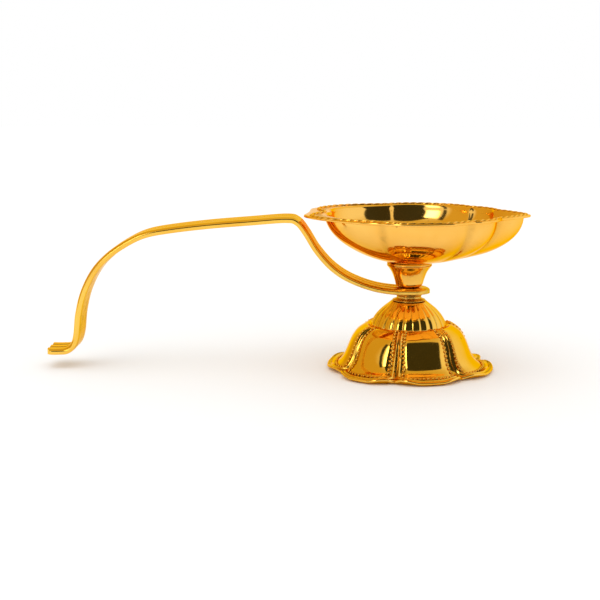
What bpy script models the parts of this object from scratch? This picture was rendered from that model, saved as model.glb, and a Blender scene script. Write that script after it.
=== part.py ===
"""A brass flower diya: a petalled oil lamp with a long strap handle, screwed to a low petalled stand.

Metres, +Z up. The stand's foot is on z = 0, and +X points from the handle towards the spout.
The origin is below the middle of the whole outline, so the lamp's axis is at AXIS_X, AXIS_Y.
The lamp comes apart at one screw: the stud under the bowl goes through the handle's eye,
the collar and the stand, into a nut inside the stand.
"""
import math

import bmesh
import bpy
from mathutils import Matrix, Vector

MM = 0.001
GAP = 0.3 * MM

# The lamp's vertical axis, seen from the middle of the outline.
AXIS_X = 60.88 * MM
AXIS_Y = 0.14 * MM

# How far the bowl is turned from the handle's line.
BOWL_TURN = math.radians(-5.5)

# Bowl.
RIM_Z = 76.9 * MM
BOWL_FLOOR_Z = 53.6 * MM
BOWL_WALL = 1.2 * MM
SPOUT_TIP = 57.8 * MM
FLANGE = 4.3 * MM

# Stud, its head in the bowl, and the nut that holds the stand.
STUD_R = 2.5 * MM
BORE_R = STUD_R + GAP
STUD_BOTTOM = 12.5 * MM
HEAD_R = 5.0 * MM
HEAD_H = 1.8 * MM
NUT_FLATS = 8.0 * MM
NUT_TOP = 18.3 * MM
NUT_BOTTOM = 14.3 * MM
WASHER_R = 7.5 * MM
WASHER_T = 1.0 * MM

# Stem.
STEM_TOP = 51.9 * MM
STEM_FOOT = 40.8 * MM
RING_H = 0.7 * MM
RING_R = 11.6 * MM

# Handle.
STRAP_W = 18.5 * MM
STRAP_T = 2.5 * MM
EYE_Z = 39.25 * MM
TAIL_END = -179.3 * MM

# Collar, dome and skirt of the stand.
COLLAR_TOP = EYE_Z - STRAP_T / 2 - GAP
COLLAR_FOOT = 34.3 * MM
DOME_TOP = COLLAR_FOOT - GAP
DOME_FOOT_R = 18.4 * MM
DOME_FOOT_Z = 21.2 * MM
SHEET = 1.2 * MM
CREASES = (-152.0, -103.0, -49.0, 13.0, 77.0, 142.0)  # between petals, degrees round the axis
PETAL_STEPS = 8
SKIRT_R = 41.5 * MM

BRASS = {
    "polished": ((0.83, 0.55, 0.16), 0.16),
    "turned": ((0.80, 0.52, 0.15), 0.22),
    "inner": ((0.66, 0.45, 0.16), 0.35),
}


def clear_scene():
    for item in list(bpy.data.objects):
        bpy.data.objects.remove(item, do_unlink=True)


def new_collection(name):
    group = bpy.data.collections.new(name)
    bpy.context.scene.collection.children.link(group)
    return group


def finish_of(name, kind):
    colour, roughness = BRASS[kind]
    material = bpy.data.materials.new("brass_" + name)
    material.use_nodes = True
    shader = material.node_tree.nodes["Principled BSDF"]
    shader.inputs["Base Color"].default_value = (*colour, 1.0)
    shader.inputs["Metallic"].default_value = 1.0
    shader.inputs["Roughness"].default_value = roughness
    return material


def add_piece(name, mesh, kind):
    """Put a mesh into the lamp's collection, with its origin on the lamp's axis."""
    piece = bpy.data.objects.new(name, mesh)
    piece.location = (AXIS_X, AXIS_Y, 0.0)
    LAMP.objects.link(piece)
    mesh.materials.append(finish_of(name, kind))
    mesh.shade_smooth()
    mesh.set_sharp_from_angle(angle=math.radians(35.0))
    return piece


def add_cutter(name, mesh):
    cutter = bpy.data.objects.new(name, mesh)
    cutter.location = (AXIS_X, AXIS_Y, 0.0)
    cutter.hide_render = True
    cutter.display_type = "WIRE"
    CUTTERS.objects.link(cutter)
    return cutter


def bore_cutter(name, z):
    """A round bar that cuts the stud's hole through a piece at this height."""
    bm = bmesh.new()
    bmesh.ops.create_cone(bm, cap_ends=True, segments=48, radius1=BORE_R, radius2=BORE_R,
                          depth=20.0 * MM)
    bmesh.ops.translate(bm, verts=bm.verts, vec=(0.0, 0.0, z))
    return add_cutter(name, mesh_from(bm, name))


def add_boolean(piece, cutter, operation):
    step = piece.modifiers.new(operation.lower(), "BOOLEAN")
    step.operation = operation
    step.solver = "EXACT"
    step.object = cutter


def add_wall(piece, thickness):
    """Thicken an open surface by half each way."""
    step = piece.modifiers.new("wall", "SOLIDIFY")
    step.thickness = thickness
    step.offset = 0.0
    step.use_even_offset = True


def mesh_from(bm, name):
    mesh = bpy.data.meshes.new(name)
    bm.to_mesh(mesh)
    bm.free()
    return mesh


def turned_piece(name, profile, kind, segments=48):
    """A ring turned round the axis: the profile is a closed loop of (radius, height),
    starting at the top of its outer side and running down it."""
    bm = bmesh.new()
    corners = [bm.verts.new((radius, 0.0, height)) for radius, height in profile]
    for first, second in zip(corners, corners[1:] + corners[:1]):
        bm.edges.new((first, second))
    piece = add_piece(name, mesh_from(bm, name), kind)
    turn = piece.modifiers.new("turn", "SCREW")
    turn.steps = segments
    turn.render_steps = segments
    turn.use_merge_vertices = True
    turn.merge_threshold = 0.00001
    turn.use_smooth_shade = True
    return piece


def loft(rings, name):
    """Join closed rings of equally many points with quads."""
    bm = bmesh.new()
    rows = [[bm.verts.new(point) for point in ring] for ring in rings]
    for low, high in zip(rows, rows[1:]):
        for i in range(len(low)):
            j = (i + 1) % len(low)
            bm.faces.new((low[i], low[j], high[j], high[i]))
    return mesh_from(bm, name)


# ---- Bowl: petals of unequal size about the line from the spout to the back ----

def polar(radius, degrees):
    angle = math.radians(degrees)
    return Vector((radius * math.cos(angle), radius * math.sin(angle)))


def half_outline(corners):
    """Bulged sides between corners, from the spout to the back. Each corner is (point, bulge
    of the side after it, how far the bulge leans to the side's end, how many steps)."""
    points = []
    for (start, bulge, lean, steps), (end, _, _, _) in zip(corners, corners[1:]):
        side = end - start
        outward = Vector((side.y, -side.x)).normalized()
        for i in range(steps):
            t = i / steps
            fullness = 1.0 - abs(2.0 * t ** lean - 1.0) ** 2.6
            points.append(start + side * t + outward * bulge * fullness)
    points.append(corners[-1][0])
    return points


def whole_outline(half):
    mirrored = [Vector((point.x, -point.y)) for point in half[-2:0:-1]]
    return half + mirrored


def edge_outline():
    """The flange's outer edge: a pointed spout, two petals each side, and a squared back."""
    back_corner = polar(52.6 * MM, 163.5)
    corners = [
        (Vector((SPOUT_TIP, 0.0)), 0.8 * MM, 1.0, 6),
        (polar(47.3 * MM, 23.0), 2.6 * MM, 1.0, 6),
        (polar(45.6 * MM, 48.0), 7.8 * MM, 1.0, 10),
        (polar(46.2 * MM, 105.0), 5.2 * MM, 1.0, 12),
        (back_corner, 0.0, 1.0, 4),
        (Vector((back_corner.x + 0.8 * MM, 0.0)), 0.0, 1.0, 0),
    ]
    return whole_outline(half_outline(corners))


def mouth_outline():
    """The bowl's mouth, with the same number of points: its creases cut deeper."""
    corners = [
        (Vector((SPOUT_TIP - FLANGE, 0.0)), 1.2 * MM, 1.0, 6),
        (polar(44.5 * MM, 22.5), 2.6 * MM, 1.0, 6),
        (polar(42.0 * MM, 47.5), 7.4 * MM, 1.0, 10),
        (polar(42.0 * MM, 105.0), 9.8 * MM, 1.35, 16),
        (Vector((-38.6 * MM, 0.0)), 0.0, 1.0, 0),
    ]
    return whole_outline(half_outline(corners))


def bowl_ring(mouth, share):
    """The bowl's section where it is this share of the mouth's size: round low down,
    petalled higher up. Its height follows a superellipse, fuller under the spout."""
    petalled = min(1.0, max(0.0, (share - 0.2) / 0.5))
    petalled = petalled * petalled * (3.0 - 2.0 * petalled)
    round_r = 45.0 * MM
    ring = []
    for point in mouth:
        direction = point.normalized()
        radius = share * (petalled * point.length + (1.0 - petalled) * round_r)
        fullness = 2.05 + (0.25 if direction.x < 0.0 else 0.12) * direction.x
        depth = (RIM_Z - BOWL_FLOOR_Z) * (1.0 - share ** fullness) ** (1.0 / fullness)
        ring.append((direction.x * radius, direction.y * radius, RIM_Z - depth))
    return ring


def make_bowl():
    mouth = mouth_outline()
    edge = edge_outline()
    rings = []
    for floor_r in (BORE_R, 8.0 * MM):
        directions = [point.normalized() for point in mouth]
        rings.append([(d.x * floor_r, d.y * floor_r, BOWL_FLOOR_Z) for d in directions])
    for share in (0.3, 0.42, 0.53, 0.63, 0.72, 0.8, 0.87, 0.93, 0.975):
        rings.append(bowl_ring(mouth, share))
    rings.append([(p.x, p.y, RIM_Z - 0.6 * MM) for p in mouth])
    lip = [m.lerp(e, 0.16) for m, e in zip(mouth, edge)]
    rings.append([(p.x, p.y, RIM_Z) for p in lip])
    rings.append([(p.x, p.y, RIM_Z) for p in edge])
    piece = add_piece("bowl", loft(rings, "bowl"), "polished")
    piece.data.transform(Matrix.Rotation(BOWL_TURN, 4, "Z"))
    add_wall(piece, BOWL_WALL)
    return piece


# ---- Stand ----

def petal_ring(radius, z, depth):
    """A ring of petals: full at each petal's middle, creased between petals."""
    ring = []
    for start, end in zip(CREASES, CREASES[1:] + (CREASES[0] + 360.0,)):
        for i in range(PETAL_STEPS):
            across = 2.0 * i / PETAL_STEPS - 1.0
            angle = math.radians(start + (end - start) * i / PETAL_STEPS)
            r = radius * (1.0 - depth * across * across)
            ring.append((r * math.cos(angle), r * math.sin(angle), z))
    return ring


def make_dome():
    """The cap of the stand, a petalled sheet with a round seat for the collar on top.
    Rows are (radius, height, crease)."""
    half = SHEET / 2
    seat = DOME_TOP - half
    foot_r = (DOME_FOOT_R - half) / MM
    rows = [
        (BORE_R / MM, seat / MM, 0.0), (8.4, seat / MM, 0.0), (9.9, 32.4, 0.0),
        (12.2, 30.0, 0.01), (14.3, 27.9, 0.02), (16.1, 25.6, 0.025), (17.3, 23.4, 0.03),
        (foot_r, DOME_FOOT_Z / MM, 0.03),
    ]
    rings = [petal_ring(r * MM, z * MM, depth) for r, z, depth in rows]
    piece = add_piece("dome", loft(rings, "dome"), "polished")
    add_wall(piece, SHEET)
    return piece


def make_skirt():
    """The petalled foot: a flat top inside a shoulder, a steep wall, and a flared flange
    whose flat underside is what the lamp rests on. Rows are (radius, height, crease)."""
    flat = SHEET / 2 / MM + 0.01
    seat = DOME_FOOT_Z / MM - 1.0
    rows = [
        (BORE_R / MM, seat, 0.0), (12.0, seat, 0.0), (18.2, seat, 0.0), (19.9, seat + 0.7, 0.01),
        (21.4, seat + 1.0, 0.02), (23.6, seat + 0.1, 0.03), (26.4, 17.9, 0.045),
        (28.6, 14.8, 0.06), (30.0, 11.2, 0.07), (31.4, 7.6, 0.085), (33.4, 4.2, 0.1),
        (35.6, 1.8, 0.115), (37.0, flat, 0.12), (37.8, flat, 0.12), (38.8, flat, 0.125),
        (39.8, flat, 0.13), (40.8, 1.2, 0.13), (SKIRT_R / MM, 2.2, 0.13),
    ]
    rings = [petal_ring(r * MM, z * MM, depth) for r, z, depth in rows]
    piece = add_piece("skirt", loft(rings, "skirt"), "polished")
    add_wall(piece, SHEET)
    return piece


def make_washer():
    top = NUT_TOP + GAP + WASHER_T
    bottom = NUT_TOP + GAP
    return turned_piece("clamp_washer", [
        (WASHER_R, top), (WASHER_R, bottom), (BORE_R, bottom), (BORE_R, top)], "inner")


def make_nut():
    """A hexagon nut: a six-sided prism bored along the axis."""
    bm = bmesh.new()
    corner_r = NUT_FLATS / 2 / math.cos(math.pi / 6)
    bmesh.ops.create_cone(bm, cap_ends=True, segments=6, radius1=corner_r, radius2=corner_r,
                          depth=NUT_TOP - NUT_BOTTOM)
    bmesh.ops.translate(bm, verts=bm.verts, vec=(0.0, 0.0, (NUT_TOP + NUT_BOTTOM) / 2))
    piece = add_piece("nut", mesh_from(bm, "nut"), "inner")
    add_boolean(piece, bore_cutter("nut_bore", (NUT_TOP + NUT_BOTTOM) / 2), "DIFFERENCE")
    return piece


def make_stud():
    """The long screw: a low domed head in the bowl's floor, and a shank down into the nut."""
    seat = BOWL_FLOOR_Z + BOWL_WALL / 2 + GAP
    profile = [(0.0, seat + HEAD_H), (HEAD_R * 0.55, seat + HEAD_H * 0.85),
               (HEAD_R * 0.9, seat + HEAD_H * 0.4), (HEAD_R, seat + 0.1 * MM), (HEAD_R, seat),
               (STUD_R, seat), (STUD_R, STUD_BOTTOM + 0.6 * MM),
               (STUD_R - 0.6 * MM, STUD_BOTTOM), (0.0, STUD_BOTTOM)]
    bm = bmesh.new()
    corners = [bm.verts.new((radius, 0.0, height)) for radius, height in profile]
    for first, second in zip(corners, corners[1:]):
        bm.edges.new((first, second))
    piece = add_piece("stud", mesh_from(bm, "stud"), "turned")
    turn = piece.modifiers.new("turn", "SCREW")
    turn.steps = 48
    turn.render_steps = 48
    turn.use_merge_vertices = True
    turn.merge_threshold = 0.00001
    return piece


def make_collar():
    """The turned ring between the stand and the handle: waisted, with a flared foot."""
    top = COLLAR_TOP
    foot = COLLAR_FOOT
    return turned_piece("collar", [
        (6.6 * MM, top), (6.2 * MM, top - 0.8 * MM), (6.1 * MM, top - 1.6 * MM),
        (6.7 * MM, foot + 1.0 * MM), (8.1 * MM, foot + 0.5 * MM), (8.1 * MM, foot),
        (BORE_R, foot), (BORE_R, top)], "turned")


def make_stem():
    """The flared neck under the bowl, drawn in again where it stands on the handle's eye."""
    outer = [(11.2, 51.9), (10.3, 51.2), (9.2, 49.6), (8.2, 47.6), (7.4, 45.6), (6.9, 43.8),
             (6.5, 42.4), (5.8, 41.5), (4.9, 40.8)]
    profile = [(radius * MM, height * MM) for radius, height in outer]
    return turned_piece("stem", profile + [(BORE_R, STEM_FOOT), (BORE_R, STEM_TOP)], "turned")


def make_neck_ring():
    bottom = STEM_TOP + GAP
    top = bottom + RING_H
    return turned_piece("neck_ring", [
        (RING_R - 0.2 * MM, top), (RING_R, (top + bottom) / 2), (RING_R - 0.2 * MM, bottom),
        (BORE_R, bottom), (BORE_R, top)], "turned")


# ---- Handle ----

def smooth_path(points, steps):
    """A Catmull-Rom curve through the points, ends included."""
    ends = [points[0] * 2 - points[1]] + points + [points[-1] * 2 - points[-2]]
    path = []
    for a, b, c, d in zip(ends, ends[1:], ends[2:], ends[3:]):
        for i in range(steps):
            t = i / steps
            path.append(0.5 * (2 * b + (c - a) * t + (2 * a - 5 * b + 4 * c - d) * t * t
                               + (3 * b - a - 3 * c + d) * t ** 3))
    path.append(points[-1])
    return path


def make_handle():
    """A flat strap bent in its own plane: flat at the eye, up round the bowl to a shoulder,
    along the grip, down almost to the table and out again in a short tail."""
    route = [
        (13.0, 39.25), (2.0, 39.25), (-8.0, 39.4), (-17.0, 40.8), (-25.5, 43.6), (-33.0, 47.4),
        (-39.8, 52.8), (-46.0, 60.2), (-50.8, 68.0), (-55.0, 73.2), (-60.5, 74.6),
        (-78.0, 73.3), (-98.0, 71.6), (-117.0, 69.3), (-129.0, 67.0), (-138.0, 63.0),
        (-147.5, 56.6), (-155.0, 48.6), (-160.5, 38.0), (-163.4, 27.0), (-164.6, 17.0),
        (-166.3, 11.6), (-169.5, 8.9), (-174.0, 8.4), (-182.0, 8.4),
    ]
    path = smooth_path([Vector((x * MM, 0.0, z * MM)) for x, z in route], 3)
    half = STRAP_W / 2 + 1.0 * MM
    bm = bmesh.new()
    near = [bm.verts.new((point.x, -half, point.z)) for point in path]
    far = [bm.verts.new((point.x, half, point.z)) for point in path]
    for i in range(len(path) - 1):
        bm.faces.new((near[i], near[i + 1], far[i + 1], far[i]))
    piece = add_piece("handle", mesh_from(bm, "handle"), "polished")
    add_wall(piece, STRAP_T)
    add_boolean(piece, add_cutter("strap_plan", strap_plan()), "INTERSECT")
    add_boolean(piece, bore_cutter("eye_bore", EYE_Z), "DIFFERENCE")
    return piece


def strap_plan():
    """The strap seen from above, as a tall block: a half-round eye, and a tail with rounded
    corners."""
    half = STRAP_W / 2
    corner = 3.0 * MM
    outline = []
    for i in range(25):
        angle = math.radians(-90.0 + 180.0 * i / 24)
        outline.append((1.0 * MM + half * math.cos(angle), half * math.sin(angle)))
    for side, first in ((1.0, 90.0), (-1.0, 180.0)):
        for i in range(5):
            angle = math.radians(first + 90.0 * i / 4)
            outline.append((TAIL_END + corner + corner * math.cos(angle),
                            side * (half - corner) + corner * math.sin(angle)))
    bm = bmesh.new()
    face = bm.faces.new([bm.verts.new((x, y, -10.0 * MM)) for x, y in outline])
    walls = bmesh.ops.extrude_face_region(bm, geom=[face])
    top = [item for item in walls["geom"] if isinstance(item, bmesh.types.BMVert)]
    bmesh.ops.translate(bm, verts=top, vec=(0.0, 0.0, 110.0 * MM))
    bmesh.ops.recalc_face_normals(bm, faces=bm.faces)
    return mesh_from(bm, "strap_plan")


clear_scene()
LAMP = new_collection("flower_diya")
CUTTERS = new_collection("cutters")

make_skirt()
make_dome()
make_washer()
make_nut()
make_collar()
make_handle()
make_stem()
make_neck_ring()
make_stud()
make_bowl()
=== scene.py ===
import math

import bmesh
import bpy
from mathutils import Matrix, Vector


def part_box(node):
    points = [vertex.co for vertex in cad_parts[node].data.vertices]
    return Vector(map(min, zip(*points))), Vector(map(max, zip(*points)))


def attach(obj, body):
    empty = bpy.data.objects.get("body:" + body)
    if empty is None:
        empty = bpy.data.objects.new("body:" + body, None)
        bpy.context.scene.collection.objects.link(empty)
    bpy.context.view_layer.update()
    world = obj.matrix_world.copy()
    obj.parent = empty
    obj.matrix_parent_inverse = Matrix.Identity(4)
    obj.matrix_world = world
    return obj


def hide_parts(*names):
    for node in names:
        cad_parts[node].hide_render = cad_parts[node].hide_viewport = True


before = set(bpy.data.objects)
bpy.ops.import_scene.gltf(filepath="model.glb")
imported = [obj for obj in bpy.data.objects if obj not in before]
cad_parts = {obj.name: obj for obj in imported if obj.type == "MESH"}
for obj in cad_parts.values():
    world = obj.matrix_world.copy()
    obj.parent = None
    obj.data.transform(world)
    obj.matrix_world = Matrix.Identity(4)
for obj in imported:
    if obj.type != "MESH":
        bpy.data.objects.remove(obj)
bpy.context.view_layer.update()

# ---- Studio ----
# A pale table that fades into a white room. Only the polished brass mirrors an ochre side
# wall, a dark hood and a tall lit panel. The camera stands a little above the rim.

MM = 0.001
collar_low, collar_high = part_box("collar")
screw_axis = Vector(((collar_low.x + collar_high.x) / 2, (collar_low.y + collar_high.y) / 2, 0.0))

camera_turn = math.radians(2.0)
camera_tilt = math.radians(10.15)
camera_distance = 0.6042
camera_offset = 0.0539
camera_height = 0.1424
camera_right = Vector((math.cos(camera_turn), math.sin(camera_turn), 0.0))
camera_back = Vector((math.sin(camera_turn), -math.cos(camera_turn), 0.0))
camera_data = bpy.data.cameras.new("studio_camera")
camera_data.sensor_width = 36.0
camera_data.lens = 74.4
camera = bpy.data.objects.new("studio_camera", camera_data)
camera.location = screw_axis + camera_back * camera_distance - camera_right * camera_offset
camera.location.z = camera_height
camera.rotation_euler = (math.radians(90.0) - camera_tilt, 0.0, camera_turn)
bpy.context.scene.collection.objects.link(camera)
bpy.context.scene.camera = camera
bpy.context.scene.view_settings.view_transform = "Standard"


def sky_patch(tree, turn, height, half_width, half_height, edge):
    """A mask over the sky: 1 inside a panel that is seen in this direction, in degrees.
    Turn 0 is straight behind the camera, positive towards the spout's side."""
    nodes, links = tree.nodes, tree.links
    ray = nodes.new("ShaderNodeTexCoord").outputs["Generated"]
    level = nodes.new("ShaderNodeVectorRotate")
    level.rotation_type = "Z_AXIS"
    level.inputs["Angle"].default_value = -math.radians(turn)
    links.new(ray, level.inputs["Vector"])
    tip = nodes.new("ShaderNodeVectorRotate")
    tip.rotation_type = "X_AXIS"
    tip.inputs["Angle"].default_value = math.radians(height)
    links.new(level.outputs["Vector"], tip.inputs["Vector"])
    parts = nodes.new("ShaderNodeSeparateXYZ")
    links.new(tip.outputs["Vector"], parts.inputs["Vector"])
    ahead = nodes.new("ShaderNodeMath")
    ahead.operation = "MULTIPLY"
    links.new(parts.outputs["Y"], ahead.inputs[0])
    ahead.inputs[1].default_value = -1.0
    mask = nodes.new("ShaderNodeMath")
    mask.operation = "GREATER_THAN"
    links.new(ahead.outputs[0], mask.inputs[0])
    mask.inputs[1].default_value = 0.01
    for axis, half in (("X", half_width), ("Z", half_height)):
        slope = nodes.new("ShaderNodeMath")
        slope.operation = "DIVIDE"
        links.new(parts.outputs[axis], slope.inputs[0])
        links.new(ahead.outputs[0], slope.inputs[1])
        size = nodes.new("ShaderNodeMath")
        size.operation = "ABSOLUTE"
        links.new(slope.outputs[0], size.inputs[0])
        soft = nodes.new("ShaderNodeMapRange")
        soft.interpolation_type = "SMOOTHSTEP"
        reach = math.tan(math.radians(half))
        soft.inputs["From Min"].default_value = reach
        soft.inputs["From Max"].default_value = reach - edge
        links.new(size.outputs[0], soft.inputs["Value"])
        both = nodes.new("ShaderNodeMath")
        both.operation = "MULTIPLY"
        links.new(mask.outputs[0], both.inputs[0])
        links.new(soft.outputs["Result"], both.inputs[1])
        mask = both
    return mask.outputs[0]


def sky_mix(tree, mask, under, colour):
    """Lays a colour over what is under it, where the mask is 1."""
    mix = tree.nodes.new("ShaderNodeMix")
    mix.data_type = "RGBA"
    tree.links.new(mask, mix.inputs["Factor"])
    if isinstance(under, tuple):
        mix.inputs["A"].default_value = under
    else:
        tree.links.new(under, mix.inputs["A"])
    mix.inputs["B"].default_value = colour
    return mix.outputs["Result"]


sky = bpy.data.worlds.new("white_studio")
sky.use_nodes = True
sky_tree = sky.node_tree
sky_tree.nodes.clear()
up = sky_tree.nodes.new("ShaderNodeSeparateXYZ")
sky_tree.links.new(sky_tree.nodes.new("ShaderNodeTexCoord").outputs["Generated"], up.inputs["Vector"])
overhead = sky_tree.nodes.new("ShaderNodeMapRange")
overhead.interpolation_type = "SMOOTHSTEP"
overhead.inputs["From Min"].default_value = 0.45
overhead.inputs["From Max"].default_value = 0.95
sky_tree.links.new(up.outputs["Z"], overhead.inputs["Value"])
colour = sky_mix(sky_tree, overhead.outputs["Result"], (1.0, 1.0, 1.0, 1.0),
                 (0.72, 0.58, 0.20, 1.0))
mirrored_panels = (  # turn, height, half width, half height, soft edge, colour
    (-105.0, 20.0, 50.0, 60.0, 0.60, (0.70, 0.52, 0.12, 1.0)),  # ochre side wall
    (-52.0, 28.0, 6.0, 22.0, 0.06, (0.06, 0.06, 0.05, 1.0)),  # dark flag beside the lit panel
    (17.0, 32.0, 42.0, 31.0, 0.09, (0.045, 0.045, 0.03, 1.0)),  # dark hood over the front
    (-34.5, 29.0, 8.5, 18.0, 0.10, (4.5, 4.5, 4.4, 1.0)),  # tall lit panel
)
for turn, height, half_width, half_height, edge, tone in mirrored_panels:
    panel = sky_patch(sky_tree, turn, height, half_width, half_height, edge)
    colour = sky_mix(sky_tree, panel, colour, tone)
plain = sky_tree.nodes.new("ShaderNodeBackground")
plain.inputs["Color"].default_value = (1.0, 1.0, 1.0, 1.0)
lit = sky_tree.nodes.new("ShaderNodeBackground")
sky_tree.links.new(colour, lit.inputs["Color"])
seen = sky_tree.nodes.new("ShaderNodeLightPath")
choose = sky_tree.nodes.new("ShaderNodeMixShader")
sky_tree.links.new(seen.outputs["Is Glossy Ray"], choose.inputs["Fac"])
sky_tree.links.new(plain.outputs["Background"], choose.inputs[1])
sky_tree.links.new(lit.outputs["Background"], choose.inputs[2])
sky_out = sky_tree.nodes.new("ShaderNodeOutputWorld")
sky_tree.links.new(choose.outputs["Shader"], sky_out.inputs["Surface"])
bpy.context.scene.world = sky

bm = bmesh.new()
bmesh.ops.create_grid(bm, x_segments=1, y_segments=1, size=3.0)
table_mesh = bpy.data.meshes.new("table")
bm.to_mesh(table_mesh)
bm.free()
table = bpy.data.objects.new("table", table_mesh)
bpy.context.scene.collection.objects.link(table)
table_paint = bpy.data.materials.new("table_paint")
table_paint.use_nodes = True
table_shader = table_paint.node_tree.nodes["Principled BSDF"]
table_shader.inputs["Roughness"].default_value = 0.7
table_shader.inputs["Specular IOR Level"].default_value = 0.2
table_shader.inputs["Emission Color"].default_value = (1.0, 1.0, 1.0, 1.0)
table_nodes, table_links = table_paint.node_tree.nodes, table_paint.node_tree.links
away = table_nodes.new("ShaderNodeVectorMath")
away.operation = "LENGTH"
table_links.new(table_nodes.new("ShaderNodeTexCoord").outputs["Object"], away.inputs[0])
fade = table_nodes.new("ShaderNodeMapRange")
fade.interpolation_type = "SMOOTHSTEP"
fade.inputs["From Min"].default_value = 0.12
fade.inputs["From Max"].default_value = 0.60
table_links.new(away.outputs["Value"], fade.inputs["Value"])
table_links.new(fade.outputs["Result"], table_shader.inputs["Emission Strength"])
table_tone = table_nodes.new("ShaderNodeMix")
table_tone.data_type = "RGBA"
table_tone.inputs["A"].default_value = (0.95, 0.95, 0.945, 1.0)
table_tone.inputs["B"].default_value = (0.0, 0.0, 0.0, 1.0)
table_links.new(fade.outputs["Result"], table_tone.inputs["Factor"])
table_links.new(table_tone.outputs["Result"], table_shader.inputs["Base Color"])
table_mesh.materials.append(table_paint)

soft_data = bpy.data.lights.new("soft_box", "AREA")
soft_data.size = 1.2
soft_data.energy = 3.0
soft_box = bpy.data.objects.new("soft_box", soft_data)
soft_box.location = screw_axis + Vector((-0.3, -0.4, 1.2))
soft_box.rotation_euler = (screw_axis - soft_box.location).to_track_quat("-Z", "Y").to_euler()
soft_box.visible_glossy = False
bpy.context.scene.collection.objects.link(soft_box)


# ---- Skirt ----
# The stand's foot: sheet brass pressed into six petals, with a seat for the dome, a steep
# wall, a flared flange and a rolled lip. Two ribs run down each crease and along the lip.

def curve_through(points, steps):
    """A smooth curve through points of any size, with this many steps between two points."""
    route = [Vector(point) for point in points]
    route = [route[0] * 2 - route[1]] + route + [route[-1] * 2 - route[-2]]
    curve = []
    for a, b, c, d in zip(route, route[1:], route[2:], route[3:]):
        for i in range(steps):
            t = i / steps
            curve.append(0.5 * (2 * b + (c - a) * t + (2 * a - 5 * b + 4 * c - d) * t * t
                                + (3 * b - a - 3 * c + d) * t ** 3))
    curve.append(route[-2])
    return curve


def ease(low, high, value):
    """0 below low, 1 above high, smooth between."""
    t = min(1.0, max(0.0, (value - low) / (high - low)))
    return t * t * (3.0 - 2.0 * t)


def drawn_shape(columns, stations, place):
    """A ring of columns drawn out through stations. place(station, column) gives x, y and z from
    the screw's axis in millimetres, and how dark it is painted, 0 to 1: hollow tarnish and painted
    shade."""
    bm = bmesh.new()
    number = bm.verts.layers.int.new("column")
    recess = bm.verts.layers.float.new("recess")
    ring = bmesh.ops.create_circle(bm, cap_ends=False, segments=columns, radius=MM)["verts"]
    for i, vertex in enumerate(ring):
        vertex[number] = i
    edges = list(bm.edges)
    for station in range(stations):
        if station:
            drawn = bmesh.ops.extrude_edge_only(bm, edges=edges)["geom"]
            ring = [item for item in drawn if isinstance(item, bmesh.types.BMVert)]
            fresh = set(ring)
            edges = [item for item in drawn
                     if isinstance(item, bmesh.types.BMEdge) and fresh.issuperset(item.verts)]
        for vertex in ring:
            x, y, z, depth = place(station, vertex[number])
            vertex.co = screw_axis + Vector((x, y, z)) * MM
            vertex[recess] = depth
    bmesh.ops.remove_doubles(bm, verts=bm.verts, dist=0.000002)
    bmesh.ops.recalc_face_normals(bm, faces=bm.faces)
    return bm


def add_piece(name, bm, material, body, stands_for=(), crease=50.0):
    """Makes the piece from its mesh, and says what it rides on and what it stands for."""
    mesh = bpy.data.meshes.new(name)
    bm.to_mesh(mesh)
    bm.free()
    mesh.shade_smooth()
    mesh.set_sharp_from_angle(angle=math.radians(crease))
    mesh.materials.append(material)
    piece = bpy.data.objects.new(name, mesh)
    bpy.context.scene.collection.objects.link(piece)
    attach(piece, body)
    if stands_for:
        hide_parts(*stands_for)
    return piece


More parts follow.
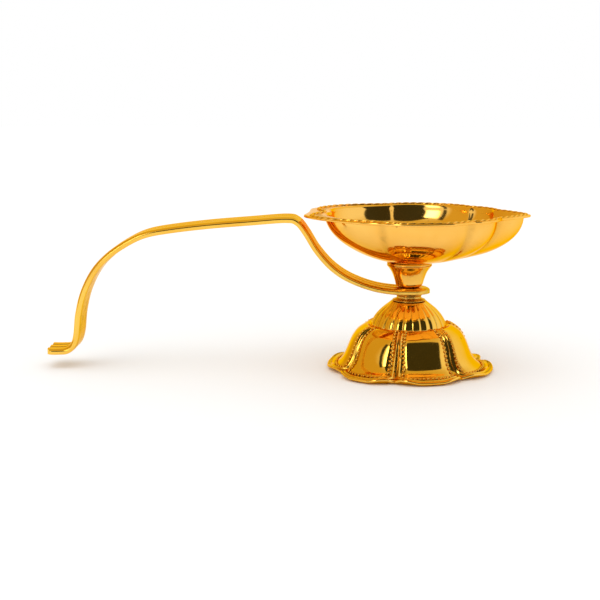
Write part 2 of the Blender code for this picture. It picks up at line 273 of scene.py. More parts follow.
def handling_marks_and_shade():
    """What years of polishing and handling leave on brass, as one node group: cloudy tone,
    small dark spots, tarnish left in hollows, painted shade where a piece is marked for it,
    fine rubbing lines and a slightly wavy face."""
    group = bpy.data.node_groups.new("handling_marks_and_shade", "ShaderNodeTree")
    ways_in = (("Vector", "NodeSocketVector", None), ("Bright", "NodeSocketColor", None),
               ("Deep", "NodeSocketColor", None), ("Tarnish And Shade Tone", "NodeSocketColor", None),
               ("Tarnish And Shade", "NodeSocketFloat", 0.0), ("Spots", "NodeSocketFloat", 0.5),
               ("Gloss Roughness", "NodeSocketFloat", 0.08), ("Waviness", "NodeSocketFloat", 0.2),
               ("Rub Lines", "NodeSocketFloat", 0.2))
    for name, kind, value in ways_in:
        socket = group.interface.new_socket(name=name, in_out="INPUT", socket_type=kind)
        if value is not None:
            socket.default_value = value
    for name, kind in (("Color", "NodeSocketColor"), ("Roughness", "NodeSocketFloat"),
                       ("Normal", "NodeSocketVector")):
        group.interface.new_socket(name=name, in_out="OUTPUT", socket_type=kind)
    nodes, links = group.nodes, group.links
    inside = nodes.new("NodeGroupInput")
    outside = nodes.new("NodeGroupOutput")

    def noise(scale, detail, roughness=0.5):
        node = nodes.new("ShaderNodeTexNoise")
        node.inputs["Scale"].default_value = scale
        node.inputs["Detail"].default_value = detail
        node.inputs["Roughness"].default_value = roughness
        links.new(inside.outputs["Vector"], node.inputs["Vector"])
        return node.outputs["Fac"]

    def ranged(value, from_min, from_max, to_min=0.0, to_max=1.0):
        node = nodes.new("ShaderNodeMapRange")
        for socket, number in (("From Min", from_min), ("From Max", from_max),
                               ("To Min", to_min), ("To Max", to_max)):
            node.inputs[socket].default_value = number
        links.new(value, node.inputs["Value"])
        return node.outputs["Result"]

    def maths(operation, first, second):
        node = nodes.new("ShaderNodeMath")
        node.operation = operation
        for socket, value in zip(node.inputs, (first, second)):
            if isinstance(value, float):
                socket.default_value = value
            else:
                links.new(value, socket)
        return node.outputs[0]

    def mixed(factor, first, second):
        node = nodes.new("ShaderNodeMix")
        node.data_type = "RGBA"
        links.new(factor, node.inputs["Factor"])
        links.new(first, node.inputs["A"])
        links.new(second, node.inputs["B"])
        return node.outputs["Result"]

    cloud = ranged(noise(38.0, 3.0), 0.38, 0.66)
    cells = nodes.new("ShaderNodeTexVoronoi")
    cells.inputs["Scale"].default_value = 150.0
    links.new(inside.outputs["Vector"], cells.inputs["Vector"])
    near_cell = ranged(cells.outputs["Distance"], 0.13, 0.05)
    chance = nodes.new("ShaderNodeSeparateColor")
    links.new(cells.outputs["Color"], chance.inputs["Color"])
    chosen = ranged(chance.outputs["Red"], 0.80, 0.86)
    spots = maths("MULTIPLY", maths("MULTIPLY", near_cell, chosen), inside.outputs["Spots"])
    # The per-point darkening input: tarnish in hollows, and painted shade where a piece lies in
    # another's shade.
    patchy_tarnish_and_shade = maths("MULTIPLY", ranged(noise(240.0, 4.0, 0.65), 0.30, 0.75), inside.outputs["Tarnish And Shade"])
    recessed = maths("MAXIMUM", maths("MULTIPLY", patchy_tarnish_and_shade, 1.15),
                     maths("MULTIPLY", inside.outputs["Tarnish And Shade"], 0.45))
    dirt_and_shade = maths("MINIMUM", maths("MAXIMUM", spots, recessed), 1.0)
    toned = mixed(cloud, inside.outputs["Bright"], inside.outputs["Deep"])
    links.new(mixed(dirt_and_shade, toned, inside.outputs["Tarnish And Shade Tone"]), outside.inputs["Color"])

    haze = ranged(noise(90.0, 5.0, 0.6), 0.35, 0.75, 0.0, 0.07)
    dulled = maths("ADD", maths("ADD", inside.outputs["Gloss Roughness"], haze),
                   maths("MULTIPLY", dirt_and_shade, 0.35))
    links.new(dulled, outside.inputs["Roughness"])

    stretch = nodes.new("ShaderNodeMapping")
    stretch.inputs["Scale"].default_value = (900.0, 1100.0, 5000.0)
    links.new(inside.outputs["Vector"], stretch.inputs["Vector"])
    lines = nodes.new("ShaderNodeTexNoise")
    lines.inputs["Scale"].default_value = 1.0
    lines.inputs["Detail"].default_value = 2.0
    links.new(stretch.outputs["Vector"], lines.inputs["Vector"])
    wave = nodes.new("ShaderNodeBump")
    wave.inputs["Distance"].default_value = 0.0012
    links.new(noise(70.0, 1.5), wave.inputs["Height"])
    links.new(inside.outputs["Waviness"], wave.inputs["Strength"])
    rubbed = nodes.new("ShaderNodeBump")
    rubbed.inputs["Distance"].default_value = 0.00003
    links.new(lines.outputs["Fac"], rubbed.inputs["Height"])
    links.new(inside.outputs["Rub Lines"], rubbed.inputs["Strength"])
    links.new(wave.outputs["Normal"], rubbed.inputs["Normal"])
    pitted = nodes.new("ShaderNodeBump")
    pitted.invert = True
    pitted.inputs["Distance"].default_value = 0.00008
    pitted.inputs["Strength"].default_value = 0.5
    links.new(spots, pitted.inputs["Height"])
    links.new(rubbed.outputs["Normal"], pitted.inputs["Normal"])
    links.new(pitted.outputs["Normal"], outside.inputs["Normal"])
    return group


marks_group = handling_marks_and_shade()


def brass(name, bright, deep, tarnish_and_shade_tone, roughness, spots, waviness, rub_lines):
    """A polished brass with this piece's own tone, tarnish and wear, and painted shade where the
    piece is marked for it.
    """
    material = bpy.data.materials.new(name)
    material.use_nodes = True
    nodes, links = material.node_tree.nodes, material.node_tree.links
    shader = nodes["Principled BSDF"]
    shader.inputs["Metallic"].default_value = 1.0
    shader.inputs["Specular Tint"].default_value = (1.0, 0.70, 0.22, 1.0)
    place = nodes.new("ShaderNodeTexCoord")
    recess = nodes.new("ShaderNodeAttribute")
    recess.attribute_name = "recess"
    marks = nodes.new("ShaderNodeGroup")
    marks.node_tree = marks_group
    links.new(place.outputs["Object"], marks.inputs["Vector"])
    links.new(recess.outputs["Fac"], marks.inputs["Tarnish And Shade"])
    for socket, tone in (("Bright", bright), ("Deep", deep), ("Tarnish And Shade Tone", tarnish_and_shade_tone)):
        marks.inputs[socket].default_value = (*tone, 1.0)
    for socket, value in (("Gloss Roughness", roughness), ("Spots", spots),
                          ("Waviness", waviness), ("Rub Lines", rub_lines)):
        marks.inputs[socket].default_value = value
    links.new(marks.outputs["Color"], shader.inputs["Base Color"])
    links.new(marks.outputs["Roughness"], shader.inputs["Roughness"])
    links.new(marks.outputs["Normal"], shader.inputs["Normal"])
    return material


stand_brass = brass("stand_brass", bright=(0.95, 0.56, 0.10), deep=(0.90, 0.49, 0.06),
                    tarnish_and_shade_tone=(0.22, 0.11, 0.02), roughness=0.045, spots=0.5, waviness=0.10,
                    rub_lines=0.15)

petal_columns = 64
crease_angles = [math.radians(turn) for turn in (-152.0, -103.0, -49.0, 13.0, 77.0, 142.0, 208.0)]
petals = len(crease_angles) - 1
petal_short = (0.0, 0.0, 0.0, 0.0, 0.0, 0.045)  # how much less each petal's flange reaches
petal_flatness = (0.1, 0.38, 0.12, 0.11, 0.11, 0.1)  # 0 is round about the screw, 1 is flat
crease_gain = 0.02  # how much the flatter petals widen the skirt at its creases
crease_sharpness = 3.2
lip_wave = 1.1
border_corner = 5.0
lip_margin = 0.6
rib_line = 1.45
rib_width = 0.6
rib_height = 0.75
inset_depth = 0.25

# The upper face from the seat's hole to the lip, then the lip's roll, then the under face.
skirt_upper = curve_through([
    (3.0, 20.8), (8.0, 20.8), (13.0, 20.8), (17.6, 20.8), (18.7, 20.95), (19.5, 21.7),
    (20.4, 22.25), (21.6, 22.0), (23.6, 20.8), (25.8, 19.0), (27.8, 16.2), (29.3, 13.0),
    (30.4, 10.2), (31.7, 7.4), (33.5, 5.0), (35.8, 3.3), (38.2, 2.3), (40.2, 1.9),
    (41.4, 2.2)], 5)
skirt_roll = curve_through([(41.4, 2.2), (42.0, 1.95), (42.1, 1.3), (41.5, 0.8)], 4)
skirt_under = curve_through([
    (41.5, 0.8), (40.4, 0.3), (39.0, 0.05), (37.4, 0.05), (36.0, 0.6), (34.4, 1.9),
    (32.4, 3.9), (30.5, 6.8), (29.2, 9.8), (28.1, 12.6), (26.7, 15.5), (24.9, 17.9),
    (22.9, 19.5), (21.4, 20.5), (20.3, 20.7), (19.2, 19.8), (17.6, 19.6), (10.0, 19.6),
    (3.0, 19.6), (3.0, 20.8)], 3)
skirt_profile = skirt_upper + skirt_roll[1:] + skirt_under[1:]
upper_count = len(skirt_upper)
skirt_run = [0.0]
for here, there in zip(skirt_profile, skirt_profile[1:]):
    skirt_run.append(skirt_run[-1] + (there - here).length)
run_at_lip = skirt_run[upper_count - 1]
run_at_shoulder = skirt_run[6 * 5]


def half_turn_of(petal):
    """Half the angle between a petal's two creases."""
    return (crease_angles[petal + 1] - crease_angles[petal]) / 2.0


def crease_depth(radius):
    """How much of the radius a crease between two petals takes away."""
    return 0.03 * ease(18.5, 26.0, radius) + 0.045 * ease(26.0, 34.0, radius) \
        + 0.06 * ease(32.0, 40.0, radius)


def petal_point(radius, height, across, petal):
    """Where a point of the plain petal lies. across runs from -1 to 1 between creases."""
    reach = radius * (1.0 - crease_depth(radius) * abs(across) ** crease_sharpness)
    reach *= 1.0 - petal_short[petal] * ease(30.0, 40.0, radius) * (1.0 - across ** 2)
    half_turn = half_turn_of(petal)
    flatter = 1.0 / math.cos(half_turn * across) - 1.0 / math.cos(half_turn)
    reach *= 1.0 + (crease_gain + petal_flatness[petal] * flatter) * ease(19.0, 26.0, radius)
    lift = lip_wave * ease(36.5, 41.5, radius) * ease(0.25, 0.7, abs(across)) \
        * (1.0 - ease(0.78, 1.0, abs(across)))
    return reach, height + lift


def petal_angle(petal, across):
    """The angle round the screw of a point this far across a petal."""
    start, end = crease_angles[petal], crease_angles[petal + 1]
    return start + (end - start) * (across + 1.0) / 2.0


def line_spread(run):
    """The ribs and beads draw together towards the shoulder."""
    return 0.62 + 0.38 * ease(run_at_shoulder, run_at_lip, run)


def border_distance(run, side):
    """How far in from the petal's edge lines a point is: side is its distance to the crease,
    and run its distance along the face from the seat. The lines spread as they go down."""
    a = side / line_spread(run)
    b = run_at_lip - run - lip_margin
    if a < border_corner and b < border_corner:
        return border_corner - math.hypot(border_corner - a, border_corner - b)
    return min(a, b)


def skirt_place(station, column):
    """The petal with its ribs raised and the field inside them let in a little."""
    point = skirt_profile[station]
    step = column % petal_columns
    across = math.sin(math.pi / 2.0 * (2.0 * step / petal_columns - 1.0))
    petal = column // petal_columns
    angle = petal_angle(petal, across)
    reach, height = petal_point(point.x, point.y, across, petal)
    recess = 0.0
    side = reach * half_turn_of(petal) * (1.0 - abs(across))
    if station < upper_count and point.x > 18.6:
        inward = border_distance(skirt_run[station], side)
        strength = ease(run_at_shoulder - 2.0, run_at_shoulder + 1.5, skirt_run[station])
        rib = rib_height * strength * math.exp(-((inward - rib_line) / rib_width) ** 2)
        inset = -inset_depth * strength * ease(2.3, 3.1, inward) * (1.0 - ease(4.4, 5.6, inward))
        before = skirt_profile[station - 1]
        after = skirt_profile[station + 1]
        along = (after - before).normalized()
        reach += (rib + inset) * -along.y
        height += (rib + inset) * along.x
        recess = strength * max(1.0 - ease(0.2, 0.9, inward),
                                ease(2.2, 2.8, inward) * (1.0 - ease(4.5, 5.2, inward)))
    return reach * math.cos(angle), reach * math.sin(angle), height, recess


bm = drawn_shape(petals * petal_columns, len(skirt_profile), skirt_place)
add_piece("skirt_petals", bm, stand_brass, "stand", ["skirt"])


# ---- Beading ----
# A row of small beads inside the ribs of every petal, down both sides and along the lip.
# They are struck in the same sheet; tarnish stays between them.

bead_radius = 0.7
bead_pitch = 2.05
bead_line = 3.9
bead_lip_radius = 37.5
route_step = 0.25


def skirt_face(run, side, petal, sign):
    """The point of the skirt's upper face at this run, this far from the petal's crease."""
    i = 1
    while skirt_run[i] < run:
        i += 1
    t = (run - skirt_run[i - 1]) / (skirt_run[i] - skirt_run[i - 1])
    point = skirt_profile[i - 1].lerp(skirt_profile[i], t)
    across = sign * (1.0 - side / (point.x * half_turn_of(petal)))
    reach, height = petal_point(point.x, point.y, across, petal)
    angle = petal_angle(petal, across)
    return Vector((reach * math.cos(angle), reach * math.sin(angle), height))


def bead_route(petal, sign):
    """The bead line of half a petal, from the shoulder down the side to the lip's middle."""
    turn_in = border_corner - bead_line
    route = []
    run = run_at_shoulder + 0.5
    while run < run_at_lip - lip_margin - border_corner:
        route.append(skirt_face(run, bead_line * line_spread(run), petal, sign))
        run += route_step
    for i in range(13):
        angle = math.radians(90.0 * i / 12)
        run = run_at_lip - lip_margin - border_corner + turn_in * math.sin(angle)
        side = (border_corner - turn_in * math.cos(angle)) * line_spread(run)
        route.append(skirt_face(run, side, petal, sign))
    run = run_at_lip - lip_margin - bead_line
    side = border_corner
    while side < half_turn_of(petal) * bead_lip_radius:
        route.append(skirt_face(run, side, petal, sign))
        side += route_step
    return route


def spaced(route, pitch):
    """Points at even spacing along a route."""
    points = [route[0]]
    left = pitch
    for here, there in zip(route, route[1:]):
        length = (there - here).length
        while length > 0.0 and left <= length:
            here = here.lerp(there, left / length)
            points.append(here)
            length = (there - here).length
            left = pitch
        left -= length
    return points


bm = bmesh.new()
for petal in range(petals):
    for sign in (-1.0, 1.0):
        for point in spaced(bead_route(petal, sign), bead_pitch):
            spot = Matrix.Translation(screw_axis + point * MM)
            bmesh.ops.create_icosphere(bm, subdivisions=2, radius=bead_radius * MM, matrix=spot)
add_piece("skirt_beading", bm, stand_brass, "stand")


# ---- Dome ----
# The stand's cap: one sheet drawn into twenty-four gadroons that fade out under the collar.
# Its foot sits inside the skirt's shoulder.

gadroons = 24
gadroon_columns = 16
gadroon_turn = math.radians(2.4)
gadroon_depth = 0.028
dome_upper = curve_through([
    (3.0, 34.0), (8.2, 34.0), (9.3, 33.5), (11.1, 32.1), (13.3, 30.3), (15.2, 28.4),
    (16.7, 26.5), (17.8, 24.6), (18.4, 22.9), (18.6, 21.4)], 6)
dome_under = curve_through([
    (18.6, 21.4), (18.4, 21.1), (17.9, 21.1), (17.5, 21.5), (17.2, 22.8), (16.6, 24.2),
    (15.6, 25.9), (14.2, 27.6), (12.4, 29.3), (10.2, 31.0), (8.5, 32.5), (7.6, 32.8),
    (3.0, 32.8), (3.0, 34.0)], 3)
dome_profile = dome_upper + dome_under[1:]


def dome_place(station, column):
    """The gadroons fade out towards the top. Tarnish stays between them. Both edges are painted
    darker: painted shade round the collar's foot and where the dome's foot sits in the skirt's seat.
    """
    point = dome_profile[station]
    step = column % gadroon_columns
    across = 2.0 * step / gadroon_columns - 1.0
    angle = gadroon_turn + 2.0 * math.pi * column / (gadroons * gadroon_columns)
    fade = ease(8.6, 13.0, point.x)
    reach = point.x * (1.0 - gadroon_depth * fade * across * across)
    recess = fade * 0.8 * ease(0.8, 1.0, abs(across)) if station < len(dome_upper) else 0.0
    # Painted shade: darker near the top, round the collar's foot, and near the foot, where the dome
    # meets the skirt's seat.
    recess = max(recess, ease(9.6, 8.4, point.x) * 0.5, ease(22.2, 21.2, point.y) * 0.7)
    return reach * math.cos(angle), reach * math.sin(angle), point.y, recess


bm = drawn_shape(gadroons * gadroon_columns, len(dome_profile), dome_place)
add_piece("fluted_dome", bm, stand_brass, "stand", ["dome"], crease=60.0)


# ---- Washer and nut ----
# The clamp inside the stand, never polished: a plain washer and a chamfered hexagon nut,
# run up the stud under the skirt's seat.

inner_brass = brass("inner_brass", bright=(0.72, 0.46, 0.14), deep=(0.60, 0.36, 0.10),
                    tarnish_and_shade_tone=(0.16, 0.10, 0.03), roughness=0.26, spots=0.8, waviness=0.05,
                    rub_lines=0.6)


def turned(profile, painted_shade=0.0, columns=128):
    """A ring turned on the lathe: its closed outline of (radius, height), and how much painted
    shade darkens it all over.
    """
    loop = [Vector(point) for point in profile]
    loop.append(loop[0])

    def place(station, column):
        angle = 2.0 * math.pi * column / columns
        radius, height = loop[station]
        return radius * math.cos(angle), radius * math.sin(angle), height, painted_shade

    return drawn_shape(columns, len(loop), place)


bore_radius = 2.8
washer_radius = 7.5
washer_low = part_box("clamp_washer")[0].z / MM
washer_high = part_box("clamp_washer")[1].z / MM
bm = turned([(washer_radius, washer_high - 0.2), (washer_radius - 0.2, washer_high),
             (bore_radius + 0.2, washer_high), (bore_radius, washer_high - 0.1),
             (bore_radius, washer_low + 0.1), (bore_radius + 0.2, washer_low),
             (washer_radius - 0.2, washer_low), (washer_radius, washer_low + 0.2)])
add_piece("plain_washer", bm, inner_brass, "stand", ["clamp_washer"])

nut_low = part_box("nut")[0].z / MM
nut_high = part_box("nut")[1].z / MM
nut_half_flats = 4.0
nut_corner = 4.65
nut_columns = 96
nut_rows = [(bore_radius, nut_low + 0.3), (bore_radius + 0.3, nut_low),
            (nut_half_flats, nut_low), (nut_corner, nut_low + 0.35),
            (nut_corner, nut_high - 0.35), (nut_half_flats, nut_high),
            (bore_radius + 0.3, nut_high), (bore_radius, nut_high - 0.3),
            (bore_radius, nut_low + 0.3)]


def nut_place(station, column):
    """A hexagon 8 mm across its flats, its corners turned off at both ends."""
    radius, height = nut_rows[station]
    angle = 2.0 * math.pi * column / nut_columns
    to_flat = (angle + math.pi / 6) % (math.pi / 3) - math.pi / 6
    radius = min(radius, nut_half_flats / math.cos(to_flat))
    return radius * math.cos(angle), radius * math.sin(angle), height, 0.0


add_piece("hexagon_nut", drawn_shape(nut_columns, len(nut_rows), nut_place), inner_brass,
          "stand", ["nut"], crease=25.0)


# ---- Collar ----
# A small turned ring between the dome and the handle's eye, waisted above a flared foot.

turned_brass = brass("turned_brass", bright=(0.93, 0.54, 0.10), deep=(0.85, 0.44, 0.06),
                     tarnish_and_shade_tone=(0.24, 0.12, 0.02), roughness=0.06, spots=0.4, waviness=0.08,
                     rub_lines=0.5)

# Painted shade: the whole collar is darkened for the shade it sits in under the handle's eye.
bm = turned(curve_through([
    (6.4, 37.65), (6.65, 37.3), (6.2, 36.7), (6.05, 36.0), (6.35, 35.4), (7.3, 35.0),
    (8.05, 34.75), (8.1, 34.4), (7.8, 34.3)], 6)
    + [Vector((bore_radius, 34.3)), Vector((bore_radius, 37.7))], painted_shade=0.75)
add_piece("turned_collar", bm, turned_brass, "lift", ["collar"])


# ---- Handle ----
# A strap with three reeds, bent in its own plane: flat under the stem, up round the bowl to
# a shoulder, along the grip and down to a short tail. The outer reeds meet round the eye.

handle_brass = brass("handle_brass", bright=(0.98, 0.60, 0.10), deep=(0.92, 0.51, 0.07),
                     tarnish_and_shade_tone=(0.20, 0.10, 0.02), roughness=0.07, spots=0.3, waviness=0.12,
                     rub_lines=0.25)

strap_half = 9.25
strap_back = 1.25
grip_extra = 0.25
reed_half = strap_half / 3.0
reed_foot = 0.25
reed_height = 1.5
eye_x, eye_z = 1.0, 39.25
seat_radius = 5.6
seat_height = 1.45
strap_route = curve_through([
    (eye_x, eye_z), (-8.0, 39.4), (-17.0, 40.8), (-25.5, 43.6), (-33.0, 47.4),
    (-39.8, 52.8), (-46.0, 60.2), (-50.8, 68.0), (-55.0, 73.2), (-60.5, 74.6),
    (-78.0, 73.3), (-98.0, 71.6), (-117.0, 69.3), (-129.0, 67.0), (-138.0, 63.0),
    (-147.5, 56.6), (-155.0, 48.6), (-160.5, 38.0), (-163.4, 27.0), (-164.6, 17.0),
    (-166.3, 11.6), (-169.5, 8.9), (-174.0, 8.4), (-179.3, 8.4)], 9)
eye_stations = 24
upper_columns = 90
under_columns = 30
strap_columns = upper_columns + under_columns


def reed_top(inward):
    """The reeded face over the strap's middle, this far in from its edge, and how deep in a
    groove between reeds it lies."""
    from_middle = abs((inward / reed_half) % 2.0 - 1.0) if inward < 2.0 * reed_half \
        else (strap_half - inward) / reed_half
    round_part = math.sqrt(max(0.0, 1.0 - from_middle ** 2))
    groove = 1.0 - ease(0.5, 0.85, round_part) if inward > reed_half else 0.0
    return reed_foot + reed_height * round_part, groove


def strap_place(station, column):
    """Stations start at the eye's rounded end and follow the strap to its tail."""
    if station <= eye_stations:
        swing = math.pi / 2.0 * (1.0 - station / eye_stations)
        ahead = strap_half * math.sin(swing)
        half = strap_half * math.cos(swing)
        centre, along = Vector((eye_x + ahead, eye_z)), Vector((-1.0, 0.0))
    else:
        i = station - eye_stations
        ahead = 0.0
        half = strap_half
        centre = strap_route[i]
        along = (strap_route[min(i + 1, len(strap_route) - 1)] - strap_route[i - 1]).normalized()
        left = len(strap_route) - 1 - i
        if left < 4:
            half -= 1.4 * (1.0 - left / 4.0) ** 2
    up = Vector((along.y, -along.x))
    if column < upper_columns:
        y = half * math.sin(math.pi * (column / (upper_columns - 1) - 0.5))
        inward = strap_half - math.hypot(ahead, y)
        top, recess = reed_top(max(0.0, inward))
        point = centre + up * top
        if math.hypot(point.x, y) < seat_radius:
            point = centre + up * seat_height
    else:
        share = (column - upper_columns) / (under_columns - 1)
        y = half * math.cos(math.pi * share)
        y = max(-half, min(half, y))
        round_off = 0.4 * (1.0 - math.sqrt(max(0.0, 1.0 - (y / (half + 0.001)) ** 8)))
        back = strap_back + grip_extra * ease(20.0, 40.0, -centre.x)
        point = centre - up * (back - round_off)
        # The back face is painted darker away from its edges.
        recess = 0.55 * ease(0.2, 1.2, half - abs(y))
    # Painted shade: darker towards the eye, where the strap runs under the bowl and the stem.
    painted_shade = 0.5 * (1.0 - ease(12.0, 60.0, math.hypot(point.x, y)))
    return point.x, y, point.y, max(recess, painted_shade)


strap_stations = eye_stations + len(strap_route)
bm = drawn_shape(strap_columns, strap_stations, strap_place)
bmesh.ops.holes_fill(bm, edges=[edge for edge in bm.edges if edge.is_boundary], sides=0)
bmesh.ops.recalc_face_normals(bm, faces=bm.faces)
add_piece("reeded_handle", bm, handle_brass, "handle", ["handle"], crease=40.0)


# ---- Stem ----
# The flared neck between the handle and the bowl, turned from bar, and the thin ring in the
# seam above it.

bm = turned(curve_through([
    (10.9, 52.0), (11.1, 51.8), (10.8, 51.35), (9.7, 50.0), (8.6, 48.2), (7.8, 46.2),
    (7.15, 44.2), (6.7, 42.6), (6.0, 41.5), (4.9, 40.85)], 6)
    + [Vector((bore_radius, 40.8)), Vector((bore_radius, 52.0))])
add_piece("flared_stem", bm, turned_brass, "diya", ["stem"])

# Painted shade: the seam ring is darkened all over, tucked under the bowl's floor.
bm = turned(curve_through([(10.8, 53.3), (11.0, 53.0), (11.1, 52.6), (11.0, 52.2),
                           (10.7, 52.05)], 5)
            + [Vector((bore_radius, 52.1)), Vector((bore_radius, 52.95))], painted_shade=0.4)
add_piece("seam_ring", bm, turned_brass, "diya", ["neck_ring"])


# ---- Bowl ----
# Sheet brass pressed into seven unequal petals: a pointed one that carries the wick, two
# pairs beside it and a broad pair at the back, inside a flat flange.

bowl_brass = brass("bowl_brass", bright=(0.98, 0.56, 0.12), deep=(0.94, 0.47, 0.07),
                   tarnish_and_shade_tone=(0.30, 0.15, 0.03), roughness=0.05, spots=0.7, waviness=0.10,
                   rub_lines=0.12)

bowl_turn = math.radians(-5.5)
rim_height = 76.9
bowl_floor = 53.0
sheet = 1.1
half_sheet = 0.55
flange_half = 0.6
wall_creases = (22.5, 47.5, 105.0)  # degrees to either side of the spout


def ray(radius, degrees):
    """A point this far from the screw's axis, at this angle from the spout."""
    return Vector((radius * math.cos(math.radians(degrees)),
                   radius * math.sin(math.radians(degrees))))


def petalled_outline(corners):
    """Bulged sides between corners, from the spout to the back, then mirrored to the spout.
    Each corner is (point, bulge of the side after it, how far the bulge leans to the side's
    end, how many steps that side has)."""
    half = []
    for (start, bulge, lean, steps), (end, _, _, _) in zip(corners, corners[1:]):
        side = end - start
        outward = Vector((side.y, -side.x)).normalized()
        for i in range(steps):
            t = i / steps
            fullness = 1.0 - abs(2.0 * t ** lean - 1.0) ** 2.6
            half.append(start + side * t + outward * bulge * fullness)
    half.append(corners[-1][0])
    return half + [Vector((point.x, -point.y)) for point in half[-2:0:-1]]


def softened(outline, passes):
    """The outline with its corners eased, as a press leaves them."""
    for _ in range(passes):
        outline = [(outline[i - 1] + outline[i] * 2.0 + outline[(i + 1) % len(outline)]) / 4.0
                   for i in range(len(outline))]
    return outline


back_corner = ray(52.6, 163.5)
flange_outline = softened(petalled_outline([
    (Vector((58.3, 0.0)), 0.8, 1.0, 24), (ray(47.3, 23.0), 2.6, 1.0, 32),
    (ray(45.6, 48.0), 7.8, 1.0, 56), (ray(46.2, 105.0), 5.2, 1.0, 68),
    (back_corner, 0.0, 1.0, 20), (Vector((back_corner.x + 0.8, 0.0)), 0.0, 1.0, 0)]), 4)
mouth_outline = softened(petalled_outline([
    (Vector((54.6, 0.0)), 1.2, 1.0, 24), (ray(44.5, 22.5), 2.6, 1.0, 32),
    (ray(42.0, 47.5), 7.4, 1.0, 56), (ray(42.0, 105.0), 9.8, 1.35, 88),
    (Vector((-38.6, 0.0)), 0.0, 1.0, 0)]), 3)
bowl_columns = len(mouth_outline)

# Rows up the outside, over the flange, and down the inside: (kind, how far along it).
round_radius = 45.0  # the bowl's size low down, where it has no petals
floor_rise = 13.0  # where the wall's quarter turn starts, in degrees
wall_steps = 40
flange_steps = 10
bowl_rows = [("floor_out", 0.0), ("floor_out", 1.0)]
bowl_rows += [("outside", i / wall_steps) for i in range(wall_steps + 1)]
bowl_rows += [("under_flange", i / flange_steps) for i in range(1, flange_steps + 1)]
bowl_rows += [("lip", i / 4) for i in range(1, 4)]
bowl_rows += [("over_flange", 1.0 - i / flange_steps) for i in range(flange_steps + 1)]
bowl_rows += [("inside", 1.0 - i / wall_steps) for i in range(1, wall_steps + 1)]
bowl_rows += [("floor_in", 1.0), ("floor_in", 0.0), ("floor_out", 0.0)]


def wall_point(column, along, inset):
    """A point of the bowl's wall: along is 0 at the floor and 1 at the mouth."""
    mouth = mouth_outline[column]
    direction = mouth.normalized()
    share = math.sin(math.radians(floor_rise + (90.0 - floor_rise) * along))
    petalled = ease(0.2, 0.72, share)
    full = share * (petalled * mouth.length + (1.0 - petalled) * round_radius)
    fullness = 2.05 + (0.25 if direction.x < 0.0 else 0.12) * direction.x
    drop = (1.0 - min(1.0, share) ** fullness) ** (1.0 / fullness)
    height = rim_height - (rim_height - bowl_floor - inset) * drop
    reach = full + (half_sheet - inset) * share
    return direction * reach, height


def set_round(x, y):
    """Turns a point of the bowl about the screw to where the bowl is set."""
    return (x * math.cos(bowl_turn) - y * math.sin(bowl_turn),
            x * math.sin(bowl_turn) + y * math.cos(bowl_turn))


def bowl_place(station, column):
    """Rows run up the outside, over the flange and down the inside. The creases outside are
    darkened with painted shade up under the flange; tarnish lies beside the rope."""
    kind, along = bowl_rows[station]
    direction = mouth_outline[column].normalized()
    recess = 0.0
    if kind in ("floor_out", "floor_in"):
        flat = direction * (bore_radius + along * 6.0)
        height = bowl_floor if kind == "floor_out" else bowl_floor + sheet
    elif kind == "outside":
        flat, height = wall_point(column, along, 0.0)
        height = min(height, rim_height - flange_half)
        turn = abs(math.degrees(math.atan2(direction.y, direction.x)))
        from_crease = min(abs(turn - crease) for crease in wall_creases)
        # Painted shade: the outside creases are darkened from low on the wall up under the flange.
        recess = 0.42 * (1.0 - ease(0.0, 5.0, from_crease)) * ease(0.05, 0.4, along)
    elif kind == "inside":
        flat, height = wall_point(column, along, sheet)
        height = min(height, rim_height + 0.5)
    else:
        mouth = mouth_outline[column] + direction * half_sheet
        edge = flange_outline[column]
        if kind == "under_flange":
            flat, height = mouth.lerp(edge, along), rim_height - flange_half
        elif kind == "lip":
            swing = math.pi * (along - 0.5)
            flat = edge + edge.normalized() * 0.35 * math.cos(swing)
            height = rim_height + flange_half * math.sin(swing)
        else:
            inner = mouth_outline[column] - direction * 0.3
            flat = inner.lerp(edge, along)
            height = rim_height + flange_half - 0.35 * (1.0 - ease(0.0, 0.12, along))
            recess = 0.8 * (1.0 - ease(0.1, 0.26, abs(along - 0.42)))
    return *set_round(flat.x, flat.y), height, recess


bm = drawn_shape(bowl_columns, len(bowl_rows), bowl_place)
add_piece("petalled_bowl", bm, bowl_brass, "diya", ["bowl"], crease=60.0)


# ---- Rope edge ----
# A two-strand rope chased along the flange, following the mouth's petals and dipping in at
# every crease.

rope_radius = 0.62
rope_twist = 4.0
rope_sides = 14
rope_step = 0.45
rope_line = softened(petalled_outline([
    (Vector((56.4, 0.0)), 1.0, 1.0, 24), (ray(46.2, 23.0), 2.6, 1.0, 32),
    (ray(44.2, 48.0), 7.8, 1.0, 56), (ray(44.6, 105.0), 16.0, 1.5, 88),
    (Vector((-41.0, 0.0)), 0.0, 1.0, 0)]), 3)
rope_line = [Vector((point.x, point.y, rim_height + flange_half)) for point in rope_line]
rope_route = spaced(rope_line + [rope_line[0]], rope_step)
rope_turns = round(len(rope_route) * rope_step / rope_twist)


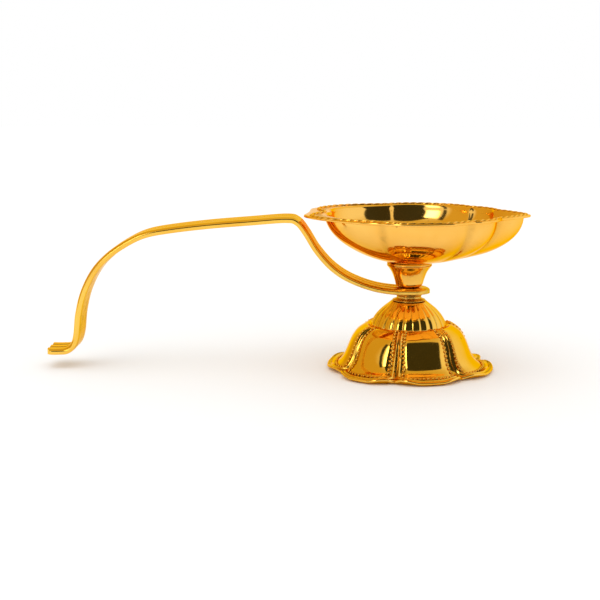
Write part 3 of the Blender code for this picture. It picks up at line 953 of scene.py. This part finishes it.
def rope_place(station, column):
    """The section is a figure of eight that turns as it goes, which twists two strands."""
    i = station % len(rope_route)
    here = rope_route[i]
    along = (rope_route[(i + 1) % len(rope_route)] - rope_route[i - 1]).normalized()
    side = Vector((along.y, -along.x, 0.0))
    angle = 2.0 * math.pi * column / rope_sides
    twist = math.pi * rope_turns * 2.0 * i / len(rope_route)
    swell = abs(math.cos(angle - twist / 2.0))
    radius = rope_radius * (0.62 + 0.55 * swell)
    point = here + side * radius * 1.15 * math.cos(angle)
    height = point.z + radius * math.sin(angle)
    return *set_round(point.x, point.y), height, 1.0 - ease(0.2, 0.8, swell)


bm = drawn_shape(rope_sides, len(rope_route) + 1, rope_place)
add_piece("rope_edge", bm, bowl_brass, "diya", crease=70.0)


# ---- Stud ----
# The long screw through everything: a low domed head on the bowl's floor, a plain shank,
# and a coarse thread at its lower end.

stud_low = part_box("stud")[0].z / MM
stud_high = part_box("stud")[1].z / MM
stud_radius = 2.5
head_radius = 5.0
head_seat = stud_high - 1.8
thread_pitch = 1.0
thread_depth = 0.28
thread_top = 29.0
thread_run = thread_top - stud_low - 0.2
stud_rows = [(0.0, stud_high), (1.4, stud_high - 0.1), (2.8, stud_high - 0.4),
             (4.0, stud_high - 0.85), (4.8, stud_high - 1.4), (head_radius, head_seat + 0.1),
             (head_radius, head_seat), (stud_radius, head_seat), (stud_radius, 30.0)]
thread_steps = 120
stud_columns = 32
for step in range(thread_steps + 1):
    stud_rows.append((stud_radius, thread_top + 0.5 - thread_run * step / thread_steps))
stud_rows += [(1.9, stud_low), (0.0, stud_low)]


def stud_place(station, column):
    """The thread is a ridge that falls by its pitch in each turn."""
    radius, height = stud_rows[station]
    angle = 2.0 * math.pi * column / stud_columns
    recess = 0.0
    if height < thread_top and radius == stud_radius:
        ridge = abs(((height / thread_pitch + column / stud_columns) % 1.0) * 2.0 - 1.0)
        radius -= thread_depth * ridge
        recess = ridge
    return radius * math.cos(angle), radius * math.sin(angle), height, recess


add_piece("long_stud", drawn_shape(stud_columns, len(stud_rows), stud_place), inner_brass,
          "diya", ["stud"])
